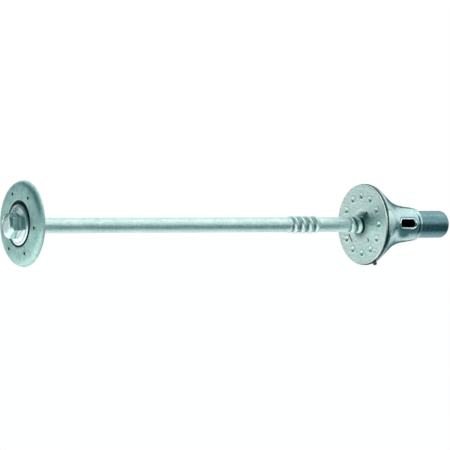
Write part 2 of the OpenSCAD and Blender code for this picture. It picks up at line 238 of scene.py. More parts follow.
def zinc(name, pale, dull, roughness, crystal, grain, relief, painted_shade):
    """Galvanised steel: zinc crystals, a grainy mottle, faint stains, and painted shade that darkens the
    colour where ambient occlusion finds crevices.
    """
    crystal_share, mottle_share, stain_share, darkened = 0.3, 2.2, 0.8, -0.9
    stain, crevice_width, shade_power, shade_colour = 14 * mm, 3 * mm, 1.4, (0.005, 0.02, 0.025, 1)
    gloss_spread, crevice_dullness, crystal_relief = 0.25, 0.3, 0.2
    material = bpy.data.materials.new(name)
    material.use_nodes = True
    tree = material.node_tree
    steel = tree.nodes["Principled BSDF"]
    steel.inputs["Metallic"].default_value = 1.0
    place = tree.nodes.new("ShaderNodeTexCoord").outputs["Object"]

    def noise(size, detail):
        """Cloudy noise, with patches of a size."""
        node = tree.nodes.new("ShaderNodeTexNoise")
        node.inputs["Scale"].default_value = 1 / size
        node.inputs["Detail"].default_value = detail
        node.inputs["Roughness"].default_value = 0.7
        tree.links.new(place, node.inputs["Vector"])
        return node.outputs[0]

    cells = tree.nodes.new("ShaderNodeTexVoronoi")
    cells.inputs["Scale"].default_value = 1 / crystal
    tree.links.new(place, cells.inputs["Vector"])
    facet = tree.nodes.new("ShaderNodeSeparateColor")
    tree.links.new(cells.outputs["Color"], facet.inputs[0])
    mottle = noise(grain, 6)
    tone = darkened
    for cloud, share in (
            (facet.outputs[0], crystal_share), (mottle, mottle_share), (noise(stain, 2), stain_share)):
        tone = calc(tree, "MULTIPLY_ADD", cloud, share, tone)
    skin = blended(tree, "RGBA", tone, (*dull, 1), (*pale, 1))
    # Painted shade: ambient occlusion darkens the colour in crevices and hollows, and roughens it a little
    # there.
    crevice = tree.nodes.new("ShaderNodeAmbientOcclusion")
    crevice.inputs["Distance"].default_value = crevice_width
    crevice.samples = 8
    crevice_shade = calc(tree, "POWER", calc(tree, "SUBTRACT", 1.0, crevice.outputs["AO"]), shade_power)
    crevice_shade = calc(tree, "MULTIPLY", crevice_shade, painted_shade)
    linked(tree, steel.inputs["Base Color"], blended(tree, "RGBA", crevice_shade, skin, shade_colour))
    spread = calc(tree, "MULTIPLY_ADD", mottle, gloss_spread, roughness - gloss_spread / 2)
    linked(tree, steel.inputs["Roughness"], calc(tree, "MULTIPLY_ADD", crevice_shade, crevice_dullness, spread))
    bump = tree.nodes.new("ShaderNodeBump")
    bump.inputs["Strength"].default_value = 1.0
    bump.inputs["Distance"].default_value = relief
    linked(tree, bump.inputs["Height"],
           calc(tree, "MULTIPLY_ADD", facet.outputs[1], crystal_relief, mottle))
    tree.links.new(bump.outputs[0], steel.inputs["Normal"])
    return material


def times(tree, product, *terms):
    """A product of numbers or output sockets."""
    for term in terms:
        product = calc(tree, "MULTIPLY", product, term)
    return product


def span(tree, *legs):
    """The length of a line, from its legs at right angles to one another."""
    squares = 0.0
    for leg in legs:
        squares = calc(tree, "MULTIPLY_ADD", leg, leg, squares)
    return calc(tree, "SQRT", squares)


def placed(material, height):
    """A material's tree, and in it a place along, beside, above and out from an axis at a height."""
    tree = material.node_tree
    node = tree.nodes.new("ShaderNodeSeparateXYZ")
    tree.links.new(tree.nodes.new("ShaderNodeTexCoord").outputs["Object"], node.inputs[0])
    along, beside, above_floor = node.outputs
    above = calc(tree, "SUBTRACT", above_floor, height)
    return tree, {"along": along, "beside": beside, "above": above, "out": span(tree, above, beside)}


def marked(material, colour, *shares):
    """Adds a mark to a material's colour, by the product of shares from 0 to 1."""
    tree = material.node_tree
    skin = tree.nodes["Principled BSDF"].inputs["Base Color"]
    clean = skin.links[0].from_socket
    linked(tree, skin, blended(tree, "RGBA", times(tree, *shares), clean, (*colour, 1)))


def dulled(material, change, share):
    """Changes a material's roughness by up to an amount, by a share from 0 to 1."""
    tree = material.node_tree
    gloss = tree.nodes["Principled BSDF"].inputs["Roughness"]
    linked(tree, gloss, calc(tree, "MULTIPLY_ADD", share, change, gloss.links[0].from_socket))


bolt_relief, head_relief = 0.36 * mm, 0.04 * mm
bolt_zinc = zinc(
    "bolt_zinc", pale=(0.76, 0.93, 0.9), dull=(0.46, 0.66, 0.66), roughness=0.36,
    crystal=3.2 * mm, grain=1.4 * mm, relief=bolt_relief, painted_shade=0.5)
bolt_skin, on_bolt = placed(bolt_zinc, axis_z)
on_head = fade(bolt_skin, on_bolt["along"], seat_x + 1 * mm, seat_x - 1 * mm)
marked(bolt_zinc, (0.88, 1.0, 0.99), on_head, 0.6)
bolt_bump = next(node for node in bolt_skin.nodes if node.type == "BUMP")
linked(bolt_skin, bolt_bump.inputs["Distance"],
       calc(bolt_skin, "MULTIPLY_ADD", on_head, head_relief - bolt_relief, bolt_relief))
# Painted shade: the thread roots are darkened, more on the far thread, which lies in the disc's shadow.
in_root = fade(bolt_skin, on_bolt["out"], shank_radius + 0.45 * mm, shank_radius + 0.05 * mm)
root_shade, smoother = 0.0, on_head
mark_from, mark_whole, near_root_shade, far_root_shade = 0.5 * mm, 2.5 * mm, 0.65, 0.9
for start, end, painted_shade in (
        (near_thread_start, near_thread_end, near_root_shade), (far_thread_start, bolt_length, far_root_shade)):
    run_in = fade(bolt_skin, on_bolt["along"], seat_x + start + mark_from, seat_x + start + mark_whole)
    run_out = fade(bolt_skin, on_bolt["along"], seat_x + end - mark_from, seat_x + end - mark_whole)
    on_thread = times(bolt_skin, run_in, run_out)
    smoother = calc(bolt_skin, "ADD", smoother, on_thread)
    root_shade = calc(bolt_skin, "MULTIPLY_ADD", on_thread, painted_shade, root_shade)
marked(bolt_zinc, (0.03, 0.11, 0.12), in_root, root_shade)
dulled(bolt_zinc, -0.16, smoother)


def new_tree(name, **inputs):
    """A Geometry Nodes tree with a mesh in and out, named inputs for its sizes, and a material."""
    tree = bpy.data.node_groups.new(name, "GeometryNodeTree")
    tree.interface.new_socket("Geometry", in_out="OUTPUT", socket_type="NodeSocketGeometry")
    tree.interface.new_socket("Geometry", in_out="INPUT", socket_type="NodeSocketGeometry")
    for label, value in inputs.items():
        kind = "NodeSocketInt" if isinstance(value, int) else "NodeSocketFloat"
        tree.interface.new_socket(label, in_out="INPUT", socket_type=kind).default_value = value
    tree.interface.new_socket("material", in_out="INPUT", socket_type="NodeSocketMaterial")
    return tree, tree.nodes.new("NodeGroupInput").outputs


def end_tree(tree, inputs, geometry):
    """Ends a tree in plain geometry with its material on it."""
    real = tree.nodes.new("GeometryNodeRealizeInstances")
    tree.links.new(geometry, real.inputs[0])
    painted = tree.nodes.new("GeometryNodeSetMaterial")
    tree.links.new(real.outputs[0], painted.inputs["Geometry"])
    tree.links.new(inputs["material"], painted.inputs["Material"])
    tree.links.new(painted.outputs[0], tree.nodes.new("NodeGroupOutput").inputs[0])


def plain(piece):
    """Turns a piece's live modifiers into plain mesh."""
    bpy.context.view_layer.update()
    result = bpy.data.meshes.new_from_object(piece.evaluated_get(bpy.context.evaluated_depsgraph_get()))
    piece.modifiers.clear()
    piece.data = result


def grow(piece, tree, material):
    """Runs a tree on a piece and keeps the result as its plain mesh."""
    modifier = piece.modifiers.new(tree.name, "NODES")
    modifier.node_group = tree
    for item in tree.interface.items_tree:
        if item.in_out == "INPUT" and item.name == "material":
            modifier[item.identifier] = material
        elif item.in_out == "INPUT" and item.name != "Geometry":
            modifier[item.identifier] = item.default_value
    plain(piece)


def new_piece(name, vertices=(), faces=()):
    """A mesh object at the origin."""
    mesh = bpy.data.meshes.new(name)
    mesh.from_pydata(vertices, [], faces)
    piece = bpy.data.objects.new(name, mesh)
    bpy.context.scene.collection.objects.link(piece)
    return piece


def walls(rings, count, all_round=False):
    """Faces between rings of points, and from the last ring to the first where they go all round."""
    faces = []
    for ring in range(rings if all_round else rings - 1):
        here, beside = ring * count, (ring + 1) % rings * count
        for k in range(count):
            ahead = (k + 1) % count
            faces.append((here + k, here + ahead, beside + ahead, beside + k))
    return faces


def mend(piece, smooth_below=35):
    """Welds a piece, closes its open rings, turns its faces outwards and smooths all but sharp edges."""
    work = bmesh.new()
    work.from_mesh(piece.data)
    bmesh.ops.remove_doubles(work, verts=work.verts, dist=0.004 * mm)
    rings = [edge for edge in work.edges if edge.is_boundary]
    if rings:
        bmesh.ops.holes_fill(work, edges=rings)
    bmesh.ops.recalc_face_normals(work, faces=work.faces)
    for face in work.faces:
        face.smooth = True
    for edge in work.edges:
        if len(edge.link_faces) == 2 and edge.calc_face_angle() > math.radians(smooth_below):
            edge.smooth = False
    work.to_mesh(piece.data)
    work.free()


def combined(tree, x, y, z):
    """A vector from three numbers or output sockets."""
    node = tree.nodes.new("ShaderNodeCombineXYZ")
    for socket, term in zip(node.inputs, (x, y, z)):
        linked(tree, socket, term)
    return node.outputs[0]


def point_place(tree):
    """The three numbers of a point's place in a Geometry Nodes tree."""
    node = tree.nodes.new("ShaderNodeSeparateXYZ")
    tree.links.new(tree.nodes.new("GeometryNodeInputPosition").outputs[0], node.inputs[0])
    return node.outputs


def moved_points(tree, geometry, how, vector):
    """Geometry with its points moved, to a Position or by an Offset."""
    node = tree.nodes.new("GeometryNodeSetPosition")
    tree.links.new(geometry, node.inputs["Geometry"])
    tree.links.new(vector, node.inputs[how])
    return node.outputs[0]


shank_tree, shank_size = new_tree(
    "coil_shank", seat=seat_x, axis_height=axis_z, length=bolt_length, core=shank_radius,
    ridge=ridge_height, lead=thread_lead, groove_at=face_x + face_thickness / 2 - seat_x,
    groove_angle=-lip_clock, near_start=near_thread_start, near_end=near_thread_end,
    far_start=far_thread_start, far_end=bolt_length - tip_plain, fade=thread_fade,
    chamfer=tip_chamfer, first_angle=hex_corner, around=bolt_around, rings=bolt_rings)


def on_shank(operation, *terms):
    """One step of arithmetic in the shank's tree."""
    return calc(shank_tree, operation, *terms)


unrolled = shank_tree.nodes.new("GeometryNodeMeshGrid")
linked(shank_tree, unrolled.inputs["Size X"], shank_size["length"])
linked(shank_tree, unrolled.inputs["Size Y"], 1.0)
linked(shank_tree, unrolled.inputs["Vertices X"], on_shank("ADD", shank_size["rings"], 1))
linked(shank_tree, unrolled.inputs["Vertices Y"], on_shank("ADD", shank_size["around"], 1))
flat = point_place(shank_tree)
along = on_shank("MULTIPLY_ADD", shank_size["length"], 0.5, flat["X"])
angle = on_shank("MULTIPLY_ADD", on_shank("ADD", flat["Y"], 0.5), math.tau, shank_size["first_angle"])
turns = on_shank("DIVIDE", on_shank("SUBTRACT", along, shank_size["groove_at"]), shank_size["lead"])
past_groove = on_shank("SUBTRACT", angle, shank_size["groove_angle"])
turns = on_shank("SUBTRACT", turns, on_shank("DIVIDE", past_groove, math.tau))
wave = on_shank("ABSOLUTE", on_shank("SINE", on_shank("MULTIPLY", turns, math.pi)))
wave = on_shank("POWER", wave, 2.0)
threaded = 0.0
for start, end in (("near_start", "near_end"), ("far_start", "far_end")):
    run_in = on_shank("SUBTRACT", along, shank_size[start])
    run_out = on_shank("SUBTRACT", shank_size[end], along)
    inside = on_shank("DIVIDE", on_shank("MINIMUM", run_in, run_out), shank_size["fade"])
    inside = on_shank("MAXIMUM", on_shank("MINIMUM", inside, 1.0), 0.0)
    threaded = on_shank("ADD", threaded, inside)
ridged = on_shank("ADD", shank_size["core"], times(shank_tree, wave, threaded, shank_size["ridge"]))
to_tip = on_shank("SUBTRACT", shank_size["length"], along)
tapered = on_shank("ADD", on_shank("SUBTRACT", shank_size["core"], shank_size["chamfer"]), to_tip)
radius = on_shank("MINIMUM", ridged, tapered)
rolled = combined(
    shank_tree, on_shank("ADD", along, shank_size["seat"]),
    times(shank_tree, on_shank("COSINE", angle), radius, -1.0),
    on_shank("SUBTRACT", shank_size["axis_height"], times(shank_tree, on_shank("SINE", angle), radius)))
end_tree(shank_tree, shank_size, moved_points(shank_tree, unrolled.outputs["Mesh"], "Position", rolled))

lump_tree, lump_size = new_tree("zinc_lumps", lump=2.2 * mm, height=0.05 * mm)
lump = lump_tree.nodes.new("ShaderNodeTexNoise")
linked(lump_tree, lump.inputs["Scale"], calc(lump_tree, "DIVIDE", 1.0, lump_size["lump"]))
linked(lump_tree, lump.inputs["Detail"], 2.0)
swell = times(lump_tree, calc(lump_tree, "SUBTRACT", lump.outputs[0], 0.5), lump_size["height"], 2.0)
along_normal = lump_tree.nodes.new("ShaderNodeVectorMath")
along_normal.operation = "SCALE"
lump_tree.links.new(lump_tree.nodes.new("GeometryNodeInputNormal").outputs[0], along_normal.inputs[0])
lump_tree.links.new(swell, along_normal.inputs["Scale"])
end_tree(lump_tree, lump_size, moved_points(
    lump_tree, lump_size["Geometry"], "Offset", along_normal.outputs[0]))


def hexagon_radius(turn):
    """Distance from the axis to the side of the hexagon at an angle from one of its corners."""
    return hex_across_flats / 2 / math.cos((turn % math.radians(60)) - math.radians(30))


def head_ring(column):
    """Points down the head at one of its columns, from its flat over its crown and side to the shank."""
    turn = math.tau * column / bolt_around
    reach = hexagon_radius(turn)
    turn += hex_corner
    crown = (crown_middle, crown_from - crown_round, crown_from + crown_round,
             (crown_from + reach) / 2, reach)
    points = []
    for radius in crown:
        past = max(0.0, radius - crown_from)
        fall = past * math.tan(crown_edge) + past * past / (2 * crown_radius)
        points.append((bolt_low.x + fall, radius))
    points += [(seat_x, reach), (seat_x, shank_radius)]
    return [(x, -radius * math.cos(turn), axis_z - radius * math.sin(turn)) for x, radius in points]


def joined(main, *others):
    """Adds other pieces' meshes to a piece."""
    work = bmesh.new()
    for part in (main, *others):
        work.from_mesh(part.data)
    work.to_mesh(main.data)
    work.free()
    for part in others:
        bpy.data.objects.remove(part)


def bevelled(piece, width, segments=2, limit=28):
    """Rounds a piece's sharp edges."""
    modifier = piece.modifiers.new("rounding", "BEVEL")
    modifier.width = width
    modifier.segments = segments
    modifier.limit_method = "ANGLE"
    modifier.angle_limit = math.radians(limit)
    modifier.harden_normals = False
    plain(piece)


head_rings = list(zip(*(head_ring(column) for column in range(bolt_around))))
bolt = new_piece("rolled_bolt", [point for ring in head_rings for point in ring],
                 [tuple(range(bolt_around))] + walls(len(head_rings), bolt_around))
shank = new_piece("rolled_shank")
grow(shank, shank_tree, bolt_zinc)
joined(bolt, shank)
mend(bolt, smooth_below=25)
bevelled(bolt, 0.22 * mm)
grow(bolt, lump_tree, bolt_zinc)
mend(bolt, smooth_below=50)
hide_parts("through_bolt")
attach(bolt, "bolt")


# Seal
# A ring of black rubber bonded behind the washer. It is squeezed, so its edge bulges out a little.
def speckled(name, speck, stretch, first, second, roughness):
    """A finish whose colour and roughness follow one fine speckle, which is stretched along the axis."""
    material = bpy.data.materials.new(name)
    material.use_nodes = True
    tree = material.node_tree
    finish = tree.nodes["Principled BSDF"]
    drawn = tree.nodes.new("ShaderNodeMapping")
    drawn.inputs["Scale"].default_value = (stretch, 1, 1)
    tree.links.new(tree.nodes.new("ShaderNodeTexCoord").outputs["Object"], drawn.inputs["Vector"])
    speckle = tree.nodes.new("ShaderNodeTexNoise")
    speckle.inputs["Scale"].default_value = 1 / speck
    speckle.inputs["Detail"].default_value = 5
    tree.links.new(drawn.outputs[0], speckle.inputs["Vector"])
    linked(tree, finish.inputs["Base Color"],
           blended(tree, "RGBA", speckle.outputs[0], (*first, 1), (*second, 1)))
    linked(tree, finish.inputs["Roughness"], calc(tree, "MULTIPLY_ADD", speckle.outputs[0], 0.2, roughness))
    return material, speckle.outputs[0]


rubber, rubber_speckle = speckled(
    "black_rubber", speck=0.8 * mm, stretch=1, first=(0.002, 0.005, 0.006), second=(0.008, 0.018, 0.02),
    roughness=0.55)
rubber_finish = rubber.node_tree.nodes["Principled BSDF"]
rubber_finish.inputs["Specular IOR Level"].default_value = 0.3
rubber_grain = rubber.node_tree.nodes.new("ShaderNodeBump")
rubber_grain.inputs["Strength"].default_value = 0.4
rubber_grain.inputs["Distance"].default_value = 0.05 * mm
linked(rubber.node_tree, rubber_grain.inputs["Height"], rubber_speckle)
linked(rubber.node_tree, rubber_finish.inputs["Normal"], rubber_grain.outputs[0])


def turned(name, sections, height=axis_z):
    """A ring made of closed sections of (x, radius) points, one for each step round its level axis."""
    points = []
    for column, section in enumerate(sections):
        turn = math.tau * column / len(sections)
        points += [(x, -radius * math.cos(turn), height + radius * math.sin(turn)) for x, radius in section]
    return new_piece(name, points, walls(len(sections), len(sections[0]), all_round=True))


def arc(centre_x, centre_r, radius, start, end, steps):
    """Points of an arc in a section's plane; its angles are in degrees, from +x towards larger radii."""
    turns = [math.radians(start + (end - start) * k / steps) for k in range(steps + 1)]
    return [(centre_x + radius * math.cos(a), centre_r + radius * math.sin(a)) for a in turns]


seal_low, seal_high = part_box("washer_seal")
seal_radius = (seal_high.z - seal_low.z) / 2
seal_bore = 6.5 * mm
seal_z = (seal_high.z + seal_low.z) / 2
seal_half = (seal_high.x - seal_low.x) / 2
seal_middle = (seal_high.x + seal_low.x) / 2
seal_bulge = 0.5
seal_around = 160
seal_section = arc(seal_middle, seal_radius - seal_half, seal_half, 0, 180, 12)
seal_section = [(x, seal_radius - (seal_radius - r) * seal_bulge) for x, r in seal_section]
seal_section += [(seal_low.x, seal_bore), (seal_high.x, seal_bore)]
seal = turned("rubber_seal", [seal_section] * seal_around, seal_z)
mend(seal)
seal.data.materials.append(rubber)
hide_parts("washer_seal")
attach(seal, "near_side")


# Washer
# A pressed ring of zinc-plated steel under the head, dished so that its face and its edge both slope.
# It is brighter than the plate behind it, and the rubber is bonded to its back.
washer_z = (washer_low.z + washer_high.z) / 2
washer_radius = (washer_high.z - washer_low.z) / 2
washer_bore, washer_land, washer_face = 5.4 * mm, 7.4 * mm, 11.2 * mm
washer_fall, washer_edge = 0.85 * mm, 0.3 * mm
washer_around = 180


def filleted(corners, steps=5):
    """A section whose corners, given as (x, radius, rounding), are rounded by arcs."""
    section = []
    count = len(corners)
    for k in range(count):
        here = Vector(corners[k][:2])
        back = (Vector(corners[k - 1][:2]) - here).normalized()
        ahead = (Vector(corners[(k + 1) % count][:2]) - here).normalized()
        rounding = corners[k][2]
        opening = back.angle(ahead)
        reach = rounding / math.tan(opening / 2)
        middle = here + (back + ahead).normalized() * rounding / math.sin(opening / 2)
        start, end = here + back * reach - middle, here + ahead * reach - middle
        sweep = start.angle_signed(end)
        for step in range(steps + 1):
            turn = -sweep * step / steps
            section.append((middle.x + start.x * math.cos(turn) - start.y * math.sin(turn),
                            middle.y + start.x * math.sin(turn) + start.y * math.cos(turn)))
    return section


def finer(section, longest):
    """Splits a closed section's long runs, so that a surface texture can move it."""
    result = []
    for k, here in enumerate(section):
        there = section[(k + 1) % len(section)]
        pieces = max(1, math.ceil(math.dist(here, there) / longest))
        result += [tuple(Vector(here).lerp(Vector(there), step / pieces)) for step in range(pieces)]
    return result


def stripe(tree, value, middle, outer, inner):
    """A soft stripe, 1 within an inner distance of its middle and 0 past an outer one."""
    away_from_middle = calc(tree, "ABSOLUTE", calc(tree, "SUBTRACT", value, middle))
    return fade(tree, away_from_middle, outer, inner)


washer_zinc = zinc(
    "washer_zinc", pale=(0.92, 1.0, 1.0), dull=(0.62, 0.76, 0.77), roughness=0.22,
    crystal=2.4 * mm, grain=0.9 * mm, relief=0.07 * mm, painted_shade=0.5)
washer_skin, on_washer = placed(washer_zinc, washer_z)
# Painted highlight: along the edge between the washer's face and its rim, metallic falls to 0.3, so the
# pale colour shows as a bright ring.
bright_edge_ring = stripe(washer_skin, on_washer["out"], washer_face, 0.55 * mm, 0.2 * mm)
washer_steel = washer_skin.nodes["Principled BSDF"]
linked(washer_skin, washer_steel.inputs["Metallic"], calc(washer_skin, "MULTIPLY_ADD", bright_edge_ring, -0.7, 1.0))
washer_section = filleted([
    (washer_low.x, washer_bore, 0.15 * mm),
    (washer_low.x, washer_land, 0.5 * mm),
    (washer_low.x + washer_fall, washer_face, 0.4 * mm),
    (washer_high.x - washer_edge, washer_radius, 0.15 * mm),
    (washer_high.x, washer_radius, 0.1 * mm),
    (washer_high.x, washer_bore, 0.15 * mm),
])
washer = turned("dished_washer", [finer(washer_section, longest=0.6 * mm)] * washer_around, washer_z)
mend(washer)
grow(washer, lump_tree, washer_zinc)
mend(washer, smooth_below=50)
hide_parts("head_washer")
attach(washer, "near_side")


# Near plate
# A shallow pan pressed from galvanised sheet: a round recess takes the washer, the rim turns towards
# the shank, and six small holes are punched through. The shank rests in the bottom of its wide hole.
plate_low, plate_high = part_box("head_plate")
plate_z = (plate_low.z + plate_high.z) / 2
plate_radius = (plate_high.z - plate_low.z) / 2
plate_sheet = 1.3 * mm
plate_hole = seal_bore
plate_x, rim_end_x = plate_low.x, plate_high.x
plate_around = 220
recess_radius = seal_radius + 0.4 * mm
recess_slope = 0.6 * mm
recess_floor = seal_high.x
fold = 0.6 * mm
plate_fall = math.radians(10)
fall_from = 21.2 * mm
fall_inner = fall_from - plate_sheet * math.tan(plate_fall / 2)
outer_fall = (plate_radius - fall_from) * math.tan(plate_fall)
inner_fall = (plate_radius - plate_sheet - fall_inner) * math.tan(plate_fall)
plate_zinc = zinc(
    "plate_zinc", pale=(0.63, 0.88, 0.84), dull=(0.26, 0.48, 0.46), roughness=0.48,
    crystal=3 * mm, grain=1.5 * mm, relief=0.3 * mm, painted_shade=0.9)
plate_section = filleted([
    (recess_floor, plate_hole, 0.25 * mm),
    (recess_floor, recess_radius, fold),
    (plate_x, recess_radius + recess_slope, fold),
    (plate_x, fall_from, 21 * mm),
    (plate_x + outer_fall, plate_radius, 3.4 * mm),
    (rim_end_x, plate_radius, 0.3 * mm),
    (rim_end_x, plate_radius - plate_sheet, 0.3 * mm),
    (plate_x + plate_sheet + inner_fall, plate_radius - plate_sheet, 2.1 * mm),
    (plate_x + plate_sheet, fall_inner, 19 * mm),
    (plate_x + plate_sheet, recess_radius + recess_slope + plate_sheet / 2, fold),
    (recess_floor + plate_sheet, recess_radius + plate_sheet / 2, fold),
    (recess_floor + plate_sheet, plate_hole, 0.25 * mm),
], steps=8)
plate = turned("near_plate", [finer(plate_section, longest=0.8 * mm)] * plate_around, plate_z)
mend(plate)

# Painted shade: the near-black colour of every wall that carve cuts, standing for the shade inside the
# holes, slits and window.
punched = bpy.data.materials.new("punched_edge")
punched.use_nodes = True
hole_wall_shade = punched.node_tree.nodes["Principled BSDF"]
hole_wall_shade.inputs["Base Color"].default_value = (0.004, 0.014, 0.018, 1)
hole_wall_shade.inputs["Roughness"].default_value = 0.7

pin_tree, pin_size = new_tree(
    "ring_of_pins", count=6, sides=20, circle=19.6 * mm, pin=1.05 * mm, length=4 * mm,
    at=plate_x, axis_height=plate_z, first_angle=math.radians(-8))
spots = pin_tree.nodes.new("GeometryNodeMeshCircle")
linked(pin_tree, spots.inputs["Vertices"], pin_size["count"])
linked(pin_tree, spots.inputs["Radius"], pin_size["circle"])
pin = pin_tree.nodes.new("GeometryNodeMeshCylinder")
linked(pin_tree, pin.inputs["Vertices"], pin_size["sides"])
linked(pin_tree, pin.inputs["Radius"], pin_size["pin"])
linked(pin_tree, pin.inputs["Depth"], pin_size["length"])
repeated = pin_tree.nodes.new("GeometryNodeInstanceOnPoints")
pin_tree.links.new(spots.outputs[0], repeated.inputs["Points"])
pin_tree.links.new(pin.outputs[0], repeated.inputs["Instance"])
clocked = pin_tree.nodes.new("GeometryNodeTransform")
pin_tree.links.new(repeated.outputs[0], clocked.inputs["Geometry"])
pin_tree.links.new(combined(pin_tree, 0.0, 0.0, pin_size["first_angle"]), clocked.inputs["Rotation"])
upright = pin_tree.nodes.new("GeometryNodeTransform")
pin_tree.links.new(clocked.outputs[0], upright.inputs["Geometry"])
upright.inputs["Rotation"].default_value = (math.radians(90), 0, math.radians(-90))
pin_tree.links.new(combined(pin_tree, pin_size["at"], 0.0, pin_size["axis_height"]),
                   upright.inputs["Translation"])
end_tree(pin_tree, pin_size, upright.outputs[0])


def carve(piece, cutter):
    """Cuts a closed shape out of a piece; the cut walls take the near-black punched_edge material, a
    painted shade.
    """
    modifier = piece.modifiers.new("cut", "BOOLEAN")
    modifier.operation = "DIFFERENCE"
    modifier.solver = "EXACT"
    modifier.material_mode = "TRANSFER"
    modifier.object = cutter
    cutter.data.materials.clear()
    cutter.data.materials.append(punched)
    plain(piece)
    bpy.data.objects.remove(cutter)


pins = new_piece("pins")
grow(pins, pin_tree, punched)
grow(plate, lump_tree, plate_zinc)
carve(plate, pins)
mend(plate, smooth_below=40)
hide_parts("head_plate")
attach(plate, "near_side")


# Far plate
# A flat galvanised disc with twelve pressed dimples and two slits. The edge of its hole is pressed
# into one turn of a helix that runs in the bolt's coil thread, so the disc is its nut.
face_radius = 26.9 * mm
face_around = 360
lip_root = 10.2 * mm
face_zinc = zinc(
    "face_zinc", pale=(0.92, 1.0, 0.98), dull=(0.5, 0.88, 0.8), roughness=0.34,
    crystal=3 * mm, grain=1.7 * mm, relief=0.42 * mm, painted_shade=1.0)
face_skin, on_face = placed(face_zinc, axis_z)
# Painted shade: the disc's colour darkens towards its lip, from 11.5 mm out to 7 mm from the axis.
marked(face_zinc, (0.03, 0.12, 0.13), fade(face_skin, on_face["out"], 11.5 * mm, 7 * mm), 0.75)
face_section = filleted([
    (face_x, lip_root, 0.2 * mm),
    (face_x, face_radius, 0.3 * mm),
    (face_x + face_thickness, face_radius, 0.3 * mm),
    (face_x + face_thickness, lip_root, 0.2 * mm),
], steps=4)
disc = turned("far_plate", [finer(face_section, longest=0.35 * mm)] * face_around)
mend(disc)

dimple_tree, dimple_size = new_tree(
    "pressed_dimples", count=12, circle=19.2 * mm, dimple=1.7 * mm, depth=0.75 * mm,
    collar=0.18 * mm, collar_width=0.4 * mm, front=face_x, front_within=0.02 * mm, axis_height=axis_z)


def on_disc(operation, *terms):
    """One step of arithmetic in the dimples' tree."""
    return calc(dimple_tree, operation, *terms)


spot = point_place(dimple_tree)
sideways = on_disc("MULTIPLY", spot["Y"], -1.0)
upwards = on_disc("SUBTRACT", spot["Z"], dimple_size["axis_height"])
out_squared = on_disc("MULTIPLY_ADD", sideways, sideways, on_disc("MULTIPLY", upwards, upwards))
half_sector = on_disc("DIVIDE", math.pi, dimple_size["count"])
clock = on_disc("ARCTAN2", upwards, sideways)
clock = on_disc("WRAP", clock, half_sector, on_disc("MULTIPLY", half_sector, -1.0))
chord = times(dimple_tree, on_disc("SQRT", out_squared), dimple_size["circle"], on_disc("COSINE", clock))
apart = on_disc("MULTIPLY_ADD", dimple_size["circle"], dimple_size["circle"], out_squared)
apart = on_disc("SUBTRACT", apart, on_disc("MULTIPLY", chord, 2.0))
apart = on_disc("SQRT", on_disc("MAXIMUM", apart, 0.0))
within = on_disc("DIVIDE", apart, dimple_size["dimple"])
bowl = on_disc("MAXIMUM", on_disc("SUBTRACT", 1.0, on_disc("MULTIPLY", within, within)), 0.0)
bowl = on_disc("MULTIPLY", bowl, dimple_size["depth"])
past_bowl = on_disc("SUBTRACT", apart, on_disc("ADD", dimple_size["dimple"], dimple_size["collar_width"]))
past_bowl = on_disc("DIVIDE", past_bowl, dimple_size["collar_width"])
swelling = on_disc("EXPONENT", times(dimple_tree, past_bowl, past_bowl, -1.0))
pressed = on_disc("SUBTRACT", bowl, on_disc("MULTIPLY", swelling, dimple_size["collar"]))
on_front = on_disc("COMPARE", spot["X"], dimple_size["front"], dimple_size["front_within"])
pressed = on_disc("MULTIPLY", pressed, on_front)
end_tree(dimple_tree, dimple_size, moved_points(
    dimple_tree, dimple_size["Geometry"], "Offset", combined(dimple_tree, pressed, 0.0, 0.0)))
grow(disc, dimple_tree, face_zinc)
grow(disc, lump_tree, face_zinc)


def clock_point(x, radius, clock_angle):
    """A point at a distance from the axis and a clock angle, 0 towards the camera's side and 90 up."""
    turn = math.radians(clock_angle)
    return (x, -radius * math.cos(turn), axis_z + radius * math.sin(turn))


def capped(rings, count):
    """Faces between rings of points, with the first and the last ring closed."""
    last = (rings - 1) * count
    return [tuple(range(count)), tuple(range(last, last + count))] + walls(rings, count)


def slit(name, rows):
    """Cuts a slit through the disc, given by rows of four (x, radius, clock angle) corners."""
    cutter = new_piece(name, [clock_point(*corner) for row in rows for corner in row], capped(len(rows), 4))
    mend(cutter)
    carve(disc, cutter)


slit_width = 0.9 * mm
slit_start, slit_end = face_x - 1 * mm, face_x + face_thickness + 1 * mm
slit_corners = ((slit_start, -0.5), (slit_start, 0.5), (slit_end, 0.5), (slit_end, -0.5))
curved_steps = 8
curve_radius, curve_clock, curve_span = 15.6 * mm, -144, 26
slit("curved_slit", [
    [(x, curve_radius + side * slit_width, curve_clock + curve_span * (step / curved_steps - 0.5))
     for x, side in slit_corners] for step in range(curved_steps + 1)])
straight_clock, straight_in, straight_length = -55, lip_root + 0.8 * mm, 2.7 * mm
straight_turn = math.degrees(slit_width / (straight_in + straight_length / 2))
slit("straight_slit", [
    [(x, radius, straight_clock + side * straight_turn) for x, side in slit_corners]
    for radius in (straight_in, straight_in + straight_length)])

lip_inner = 5.3 * mm
lip_outer = lip_root + 0.4 * mm
lip_sheet, lip_root_sheet, lip_edge = 1.1 * mm, face_thickness + 0.06 * mm, 0.45
lip_sweep = 360 - 15
lip_steps, lip_across = 120, 10
lip_points = []
for step in range(lip_steps + 1):
    travel = step / lip_steps - 0.5
    clock_here = math.degrees(lip_clock) - lip_sweep * travel
    climb = thread_lead * lip_sweep / 360 * travel
    top, bottom = [], []
    for across in range(lip_across + 1):
        share_in = across / lip_across
        eased = share_in * share_in * (3 - 2 * share_in)
        x = face_x + face_thickness / 2 + climb * eased
        radius = lip_outer - (lip_outer - lip_inner) * share_in
        half = lip_root_sheet / 2 * (1 - share_in) + lip_sheet / 2 * share_in
        if across == lip_across:
            half *= lip_edge
        top.append(clock_point(x - half, radius, clock_here))
        bottom.append(clock_point(x + half, radius, clock_here))
    lip_points += top + bottom[::-1]
